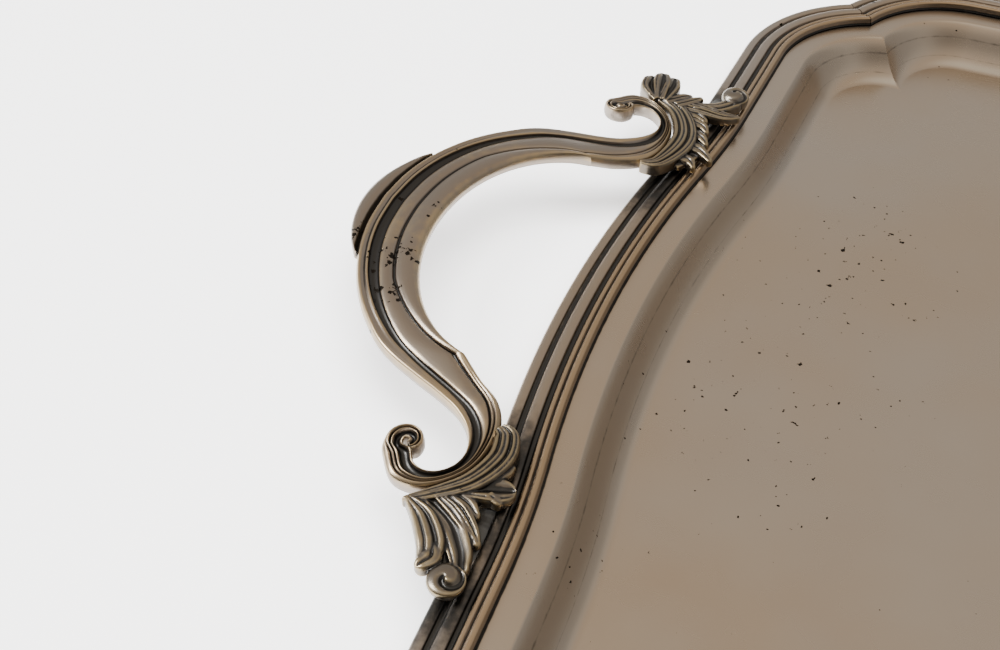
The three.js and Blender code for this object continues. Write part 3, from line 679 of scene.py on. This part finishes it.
def crest_mesh():
    """The thumb crest, a smooth half disc that rises from under the strap's outer bead."""
    root = 3.0
    sagitta = crest_reach + root
    radius = (crest_half_span ** 2 + sagitta ** 2) / (2 * sagitta)
    spans = np.sin(np.linspace(-np.pi / 2, np.pi / 2, 81)) * crest_half_span * 0.995
    points, recess = [], []
    for y in spans:
        turn = math.asin(min(abs(y) / bow_outer_span, 1))
        outer = -bow_centre_out - (bow_reach - bow_centre_out) * math.cos(turn)
        rise = kink_rise + (grip_rise - kink_rise) * math.cos(turn) ** 1.5 - 0.5
        tip = -bow_reach + root - sagitta + radius - math.sqrt(radius ** 2 - y ** 2)
        inner = outer + 1.4
        reach = max(inner - tip, 0.4)
        groove = min(2.5, 0.75 * reach)
        edges = np.array([0, 0.5, 0.72, 0.9, 1.0]) * groove
        body = groove + (reach - groove) * np.array([0.12, 0.4, 0.7, 0.9, 1.0, 0.97, 0.9])
        out = np.concatenate([edges, body, [0]])
        drop = np.array([0.9, 1.5, 1.6, 1.2, 0.5, 0.15, 0.0, 0.1, 0.5, 1.5, 2.6, 3.2, 3.5])
        thin = min(1, reach / 3)
        points.append(np.column_stack([inner - out, np.full(13, y), bead_top + rise - drop * thin]))
        recess.append(np.array([1, 1, 1, 1, 0.5, 0, 0, 0, 0, 0, 0.1, 0.1, 0.1]))
    points = np.concatenate(points)
    points[:, 0] -= half_length
    faces = grid_faces(len(spans), 13)
    faces.append(list(range(13))[::-1])
    faces.append([(len(spans) - 1) * 13 + i for i in range(13)])
    return points, faces, np.concatenate(recess), np.zeros(len(points))


def together(parts):
    """Several closed shells as one mesh."""
    points, faces, recess, crown, count = [], [], [], [], 0
    for part in parts:
        points.append(part[0])
        faces.extend([[i + count for i in face] for face in turned_out(part[0], part[1])])
        recess.append(part[2])
        crown.append(part[3])
        count += len(part[0])
    return np.concatenate(points), faces, np.concatenate(recess), np.concatenate(crown)


*strap_shape, kink_creases = strap_mesh()
bow_shape = together([strap_shape, crest_mesh()])


def mark_creases(mesh, creases):
    """Hard edges where the strap's bands turn at the kink."""
    for edge in mesh.edges:
        if tuple(sorted(edge.vertices)) in creases:
            edge.use_edge_sharp = True


grip_pits = [(-half_length + along, across, bead_top + grip_rise - 1, reach, 1.0)
             for along, across, reach in ((-36.9, 1, 3), (-38.3, -18, 9), (-51, -13.9, 7), (-35.2, -30, 8))]
cast_metal = plated_metal("cast_handle", silver=(0.30, 0.265, 0.23), warm=(0.275, 0.23, 0.185),
                          brass=(0.50, 0.37, 0.20), wear=0.6, roughness=0.26,
                          speck_scale=700, speck_size=0.6, grain=0.03, scratch=0.4,
                          everywhere=0.01, places=grip_pits)


def half_turned(shape):
    """The same casting at the other end of the tray, turned half round."""
    points, faces, recess, crown = shape
    return points * [-1, -1, 1], faces, recess, crown


for end, shape in (("left", bow_shape), ("right", half_turned(bow_shape))):
    bow = metal_piece(end + "_reeded_bow", *shape, 45)
    mark_creases(bow.data, kink_creases)
    bow.data.materials.append(cast_metal)
    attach(bow, "root")
    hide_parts(end + "_handle_bow")

# ---- Acanthus leaf mounts ----
# Cast and chased leaves that clasp the scrolls and carry the handle on the border. Each
# has a stem round the scroll, a spray of fluted lobes and a volute. The two differ.

leaf_bottom = bead_top + 0.7

# A vein is where it lies across the lobe, its depth and its width as a share of the lobe.
fine_veins = ((-0.72, 0.35, 0.07), (-0.3, 0.9, 0.12), (0.12, 0.4, 0.07), (0.5, 0.8, 0.1))
broad_veins = ((-0.32, 0.9, 0.2), (0.4, 0.5, 0.09))
one_vein = ((0.0, 0.7, 0.16),)
hollow = ((-0.15, 1.1, 0.38), (0.6, 0.3, 0.08))

near_leaf = {
    "stem": [[10.6, -9.4, 1.5, 4.2], [13.2, -7.4, 2.8, 4.6], [14.2, -1.4, 2.95, 4.5], [10.9, 6.4, 2.4, 4.1],
             [4.2, 12.6, 1.5, 3.7], [0.3, 15.4, 0.7, 3.4]],
    "lobes": [
        (one_vein, [[14.4, 3.6, 1.2, 3.4], [16.6, 0.6, 1.2, 3.0], [17.2, -1.2, 0.8, 2.8]]),
        (hollow, [[10.4, 8.7, 1.6, 3.4], [14.4, 6.8, 3.0, 3.4], [17.4, 5.4, 3.3, 3.0]]),
        (one_vein, [[15.6, 7.6, 1.2, 3.3], [17.8, 8.2, 1.2, 3.0]]),
        (one_vein, [[8, 10, 1.6, 3.4], [12.4, 11, 1.9, 3.1], [15.0, 12.6, 1.1, 2.6]]),
        (fine_veins, [[5.7, 11.3, 1.6, 3.6], [11.0, 13.2, 2.4, 3.3], [15.6, 16.6, 1.9, 2.9],
                      [18.2, 19.0, 0.9, 2.4]]),
        (hollow, [[3.6, 13, 1.5, 3.4], [10.6, 16.6, 3.0, 3.2], [15.4, 21.8, 2.9, 3.0], [17.4, 25.4, 2.1, 2.8]]),
        (broad_veins, [[0.9, 15.2, 0.9, 3.7], [5.6, 18.0, 2.5, 4.1], [9.6, 22.6, 3.0, 4.1],
                       [11.0, 26.0, 2.7, 3.6]]),
        (one_vein, [[10.2, 23.4, 1.6, 3.4], [11.6, 26.2, 2.2, 3.9], [10.6, 28.2, 1.7, 3.7]]),
    ],
    "webs": [[[7, 11, 2, 2.0], [11, 15, 4.5, 2.0], [13, 22, 5, 1.9], [14.5, 26, 3, 1.8]],
             [[11, 6, 2, 2.0], [15, 6, 3, 2.0]]],
    "volute": (16.4, 29.5, 4.0, 3.6),
}
far_leaf = {
    "stem": [[7.2, -17.2, 0.8, 4.2], [11.6, -15.2, 2.2, 4.4], [14.6, -6.4, 3.3, 4.5], [13.8, 1.6, 3.2, 4.3],
             [8.8, 9.8, 2.6, 4.1], [1.4, 13.8, 1.5, 3.8]],
    "lobes": [
        (one_vein, [[10.6, 10.6, 1.7, 3.7], [14.6, 10.4, 1.7, 3.3], [17.2, 9.2, 0.9, 2.9]]),
        (one_vein, [[13.4, 6.6, 1.8, 3.7], [17.2, 6.2, 1.7, 3.3], [19.1, 4.4, 0.8, 2.9]]),
        (one_vein, [[14.9, 1.3, 1.8, 3.7], [18.4, 1.2, 1.7, 3.3], [20.6, -1.0, 0.8, 2.9]]),
        (one_vein, [[15.9, -4.3, 1.9, 3.7], [20.0, -4.6, 1.8, 3.3], [23.6, -7.4, 0.9, 2.8]]),
        (one_vein, [[14.4, -10, 1.8, 3.6], [18.4, -9.8, 1.7, 3.2], [20.4, -11.8, 0.8, 2.8]]),
        (fine_veins, [[6.9, 12.4, 2.0, 3.9], [14.4, 13.1, 2.5, 3.8], [20.9, 13.2, 2.1, 3.2],
                      [24.6, 14.6, 1.1, 2.7]]),
        (broad_veins, [[12.4, 13.6, 1.7, 3.7], [18.4, 15.8, 2.1, 3.5], [22.4, 19.6, 2.1, 3.8]]),
        (hollow, [[2.4, 12, 1.5, 4.4], [-1.4, 16.2, 2.6, 5.0], [-2.0, 18.8, 2.7, 5.2]]),
        (hollow, [[2.8, 12, 1.5, 4.6], [1.2, 18.4, 2.6, 5.4], [0.6, 21.0, 2.4, 5.6]]),
        (hollow, [[3.6, 12, 1.5, 4.4], [4.2, 18.0, 2.4, 5.2], [4.0, 20.6, 2.1, 5.3]]),
        (one_vein, [[4.6, 12, 1.6, 4.1], [8.4, 15.8, 1.7, 4.1], [10.2, 17.0, 1.0, 3.9]]),
        (one_vein, [[8.0, 11.6, 1.7, 4.1], [11.6, 15.4, 1.6, 4.0], [13.2, 17.4, 0.9, 3.8]]),
    ],
    "webs": [[[14, -12, 3, 2.2], [17, -5, 3.6, 2.2], [16.4, 2, 3.4, 2.2], [12, 9, 3.2, 2.2]],
             [[1, 14, 3, 3.2], [1, 18, 3.4, 3.4]]],
    "volute": (21.9, 22.6, 3.8, 5.0),
}


def veined_lobe(rows, veins, side, rim=0.22, fall=1.0):
    """A lobe as a crowned ribbon with a raised rim, veins along it and a round tip."""
    rows = smooth_rows(rows, 10)
    last = rows[-1]
    ahead = rows[-1, :2] - rows[-2, :2]
    ahead /= np.linalg.norm(ahead)
    tip = []
    for share in np.linspace(0.15, 0.99, 10):
        half = last[2] * math.sqrt(1 - share ** 2)
        tip.append([*(last[:2] + ahead * last[2] * share), max(half, 0.12), last[3] - 0.6 * share ** 2])
    rows = np.concatenate([rows, tip])
    heading = np.gradient(rows[:, :2], axis=0)
    heading /= np.linalg.norm(heading, axis=1, keepdims=True)
    across = np.linspace(-1, 1, 41)
    rings = []
    for (x, y, half, top), (hx, hy) in zip(rows, heading):
        height = top - fall * np.abs(across) ** 5
        height += rim * np.exp(-((np.abs(across) - 0.84) / 0.1) ** 2)
        for place, depth, width in veins:
            height -= depth * min(1.0, 0.42 * half) * np.exp(-((across - place) / width) ** 2)
        height = np.maximum(height, 1.2)
        plan = np.stack([x - hy * half * across, y + hx * half * across], 1)
        upper = np.column_stack([plan, bead_top + height])
        lower = np.column_stack([plan[::-1][[0, 20, 40]], np.full(3, leaf_bottom)])
        rings.append(np.concatenate([upper, lower]))
    rings = np.array(rings)
    rings[:, :, 0] += scroll_centre[0] - half_length
    rings[:, :, 1] = side * (rings[:, :, 1] + scroll_centre[1])
    columns = rings.shape[1]
    faces = grid_faces(len(rings), columns)
    faces.append(list(range(columns))[::-1])
    faces.append([(len(rings) - 1) * columns + i for i in range(columns)])
    blank = np.zeros(len(rings) * columns)
    return rings.reshape(-1, 3), faces, blank, blank


def mesh_relief(mesh, rounds):
    """How far each vertex stands out from its neighbourhood, in millimetres."""
    count = len(mesh.vertices)
    co = np.empty(count * 3)
    mesh.vertices.foreach_get("co", co)
    co = co.reshape(-1, 3) / MM
    edges = np.empty(len(mesh.edges) * 2, int)
    mesh.edges.foreach_get("vertices", edges)
    a, b = edges.reshape(-1, 2).T
    normals = np.empty(count * 3)
    mesh.vertex_normals.foreach_get("vector", normals)
    degree = np.maximum(np.bincount(a, minlength=count) + np.bincount(b, minlength=count), 1)
    smoothed = co.copy()
    for _ in range(rounds):
        total = np.stack([np.bincount(a, smoothed[b, k], count) + np.bincount(b, smoothed[a, k], count)
                          for k in range(3)], 1)
        smoothed = total / degree[:, None]
    return np.sum((co - smoothed) * normals.reshape(-1, 3), 1)


def chased_leaf(name, leaf, side):
    """The leaf's lobes, stem and volute grown into one casting, with its relief measured."""
    parts = [veined_lobe(leaf["stem"], fine_veins, side)]
    parts += [veined_lobe(rows, veins, side) for veins, rows in leaf["lobes"]]
    parts += [veined_lobe(rows, (), side, rim=0.0, fall=0.3) for rows in leaf["webs"]]
    x, y, radius, top = leaf["volute"]
    place = [scroll_centre[0] + x - half_length, side * (scroll_centre[1] + y)]
    parts.append(spiral_boss(place, radius, leaf_bottom, bead_top + top, -side, turns=0.7, groove=1.1))
    points, faces, recess, crown = together(parts)
    piece = metal_piece(name, points, faces, recess, crown)
    remesh = piece.modifiers.new("grown_together", "REMESH")
    remesh.mode = "VOXEL"
    remesh.voxel_size = 0.2 * MM
    graph = bpy.context.evaluated_depsgraph_get()
    mesh = bpy.data.meshes.new_from_object(piece.evaluated_get(graph))
    piece.modifiers.clear()
    piece.data = mesh
    for label in ("recess", "crown"):
        if label in mesh.attributes:
            mesh.attributes.remove(mesh.attributes[label])
    # The fine relief gives tarnished black in the chased hollows. The broad relief, over a wide neighbourhood,
    # is painted shade that darkens the leaf's broad hollows.
    relief = mesh_relief(mesh, 14)
    broad = mesh_relief(mesh, 60)
    deep = np.clip(-relief / 0.10, 0, 1) + np.clip(-broad / 0.4, 0, 0.8) + 0.2
    proud = np.clip(relief / 0.16, 0, 1)
    for label, values in (("recess", np.clip(deep - 0.4 * proud, 0, 1)), ("crown", proud)):
        mesh.attributes.new(label, "FLOAT", "POINT").data.foreach_set("value", values.astype(np.float32))
    mesh.shade_smooth()
    return piece


leaf_metal = plated_metal("cast_leaf", silver=(0.215, 0.19, 0.16), warm=(0.17, 0.145, 0.115),
                          brass=(0.40, 0.31, 0.17), wear=0.6, roughness=0.27,
                          speck_scale=500, speck_size=0.2, grain=0.03, scratch=0.3)
leaves = [("left", "near", near_leaf, -1), ("left", "far", far_leaf, 1)]
for end, place, leaf, side in leaves:
    first = chased_leaf(end + "_" + place + "_chased_leaf", leaf, side)
    opposite = {"near": "far", "far": "near"}[place]
    second = bpy.data.objects.new("right_" + opposite + "_chased_leaf", first.data.copy())
    bpy.context.scene.collection.objects.link(second)
    turned = np.empty(len(second.data.vertices) * 3)
    second.data.vertices.foreach_get("co", turned)
    second.data.vertices.foreach_set("co", (turned.reshape(-1, 3) * [-1, -1, 1]).ravel())
    second.data.update()
    for piece, node in ((first, end + "_" + place), (second, "right_" + opposite)):
        piece.data.materials.clear()
        piece.data.materials.append(leaf_metal)
        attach(piece, "root")
        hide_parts(node + "_leaf_mount")

# ---- Solder beds ----
# Silver solder run between each leaf and the outer reeds. It froze in dull grey beads
# with small blobs standing out beside the leaf.

solder_metal = plated_metal("solder", silver=(0.22, 0.225, 0.22), warm=(0.09, 0.088, 0.085),
                            brass=(0.45, 0.40, 0.30), wear=0.1, roughness=0.42,
                            speck_scale=600, speck_size=0.25, grain=0.08, scratch=0.1)


def solder_run(box, rng):
    """A lumpy bead that fills the box of one bed, following the bed's own line."""
    low, high = np.array(box[0]) / MM, np.array(box[1]) / MM
    side = 1 if low[1] > 0 else -1
    end = 1 if low[0] > 0 else -1
    line = side_line(END, 0.8)
    along = np.linspace(low[1], high[1], 70)
    outer = np.interp(along, line[:, 0], line[:, 1])
    inner = outer - 4.2
    lump = np.convolve(rng.uniform(-1, 1, 90), np.ones(5) / 5, "same")[:70]
    theta = np.linspace(0, 2 * np.pi, 20, endpoint=False)
    rings = []
    tapers = np.sin(np.linspace(0.08, np.pi - 0.08, 70)) ** 0.3
    for y, a, b, bulge, taper in zip(along, outer, inner, lump, tapers):
        half = (a - b) / 2 * taper * (0.93 + 0.06 * bulge)
        tall = (high[2] - low[2]) / 2 * taper
        centre = (high[2] + low[2]) / 2
        rings.append(np.column_stack([end * ((a + b) / 2 + half * np.cos(theta)), np.full(20, y),
                                      centre + tall * np.sin(theta)]))
    faces = grid_faces(70, 20)
    faces.append(list(range(20))[::-1])
    faces.append([69 * 20 + i for i in range(20)])
    recess = np.clip(np.repeat(-lump, 20) * 1.2, 0, 0.6)
    return np.concatenate(rings), faces, recess, np.zeros(70 * 20), side


rng = np.random.default_rng(7)
for node in ("left_near", "left_far", "right_near", "right_far"):
    *shape, side = solder_run(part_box(node + "_solder_bed"), rng)
    bed = metal_piece(node + "_solder_run", *shape, 60)
    bed.data.materials.append(solder_metal)
    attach(bed, "root")
    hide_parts(node + "_solder_bed")

# ---- Floor, light and camera ----
# The tray stands on a plain pale floor in soft studio light. The room is dark on the
# camera's side, so the well's far wall and the grooves have dark streaks to mirror.

bpy.ops.mesh.primitive_plane_add(size=8, location=(0, 0, cad_box[0].z - 0.0003))
floor = bpy.context.object
floor.name = "studio_floor"
paper = bpy.data.materials.new("pale_paper")
paper.use_nodes = True
paper_shader = paper.node_tree.nodes["Principled BSDF"]
fleck = add(paper.node_tree, "ShaderNodeTexNoise", {"Scale": 40.0, "Detail": 2.0}).outputs["Fac"]
paper.node_tree.links.new(blend_colour(paper.node_tree, fleck, (0.86, 0.86, 0.86, 1), (0.9, 0.9, 0.9, 1)),
                          paper_shader.inputs["Base Color"])
paper_shader.inputs["Roughness"].default_value = 0.9
paper_shader.inputs["Emission Color"].default_value = (1, 1, 1, 1)
paper_shader.inputs["Emission Strength"].default_value = 0.6
floor.data.materials.append(paper)

world = bpy.data.worlds.new("studio")
bpy.context.scene.world = world
world.use_nodes = True
sky = world.node_tree
direction = add(sky, "ShaderNodeTexCoord").outputs["Generated"]
axes = add(sky, "ShaderNodeSeparateXYZ", {"Vector": direction})
height_ramp = ramp(sky, axes.outputs["Z"], 0.50, 0.86)
room = blend_colour(sky, height_ramp, (0.72, 0.70, 0.68, 1), (0.78, 0.66, 0.54, 1))
rightward = ramp(sky, axes.outputs["X"], 0.2, 0.6)
rightward = math_node(sky, "MULTIPLY", rightward, ramp(sky, axes.outputs["Z"], 0.56, 0.38))
room = blend_colour(sky, rightward, room, (0.46, 0.45, 0.44, 1))
behind = ramp(sky, axes.outputs["Y"], -0.30, -0.75)
low = ramp(sky, axes.outputs["Z"], 0.75, 0.45)
room = blend_colour(sky, math_node(sky, "MULTIPLY", behind, low), room, (0.03, 0.028, 0.026, 1))
overhead = ramp(sky, axes.outputs["Z"], 0.86, 1.0)
room = blend_colour(sky, overhead, room, (1.1, 1.05, 0.95, 1))
sky.links.new(room, sky.nodes["Background"].inputs["Color"])
sky.nodes["Background"].inputs["Strength"].default_value = 1.0


def soft_light(name, place, target, size, power, colour, mirrored):
    lamp = bpy.data.lights.new(name, "AREA")
    lamp.shape = "RECTANGLE"
    lamp.size, lamp.size_y = size
    lamp.energy = power
    lamp.color = colour
    light = bpy.data.objects.new(name, lamp)
    bpy.context.scene.collection.objects.link(light)
    light.location = place
    light.visible_glossy = mirrored
    aim = Vector(target) - Vector(place)
    light.rotation_euler = aim.to_track_quat("-Z", "Y").to_euler()


soft_light("window_light", (-1.6, -0.5, 1.5), (-0.2, 0, 0), (0.7, 1.0), 60, (0.97, 0.98, 1.0), True)
soft_light("overhead_light", (0.0, -0.3, 2.2), (-0.1, 0, 0), (2.0, 2.0), 190, (1.0, 1.0, 1.0), False)

camera_data = bpy.data.cameras.new("camera")
camera_data.lens = 45.9
camera_data.sensor_width = 36.0
camera_data.clip_start = 0.01
camera = bpy.data.objects.new("camera", camera_data)
bpy.context.scene.collection.objects.link(camera)
camera_in, camera_across, camera_over_bead = 77, -217, 213.3
camera.location = ((camera_in - half_length) * MM, camera_across * MM, (bead_top + camera_over_bead) * MM)
camera.rotation_euler = (math.radians(45), 0, math.radians(23.9))
bpy.context.scene.camera = camera
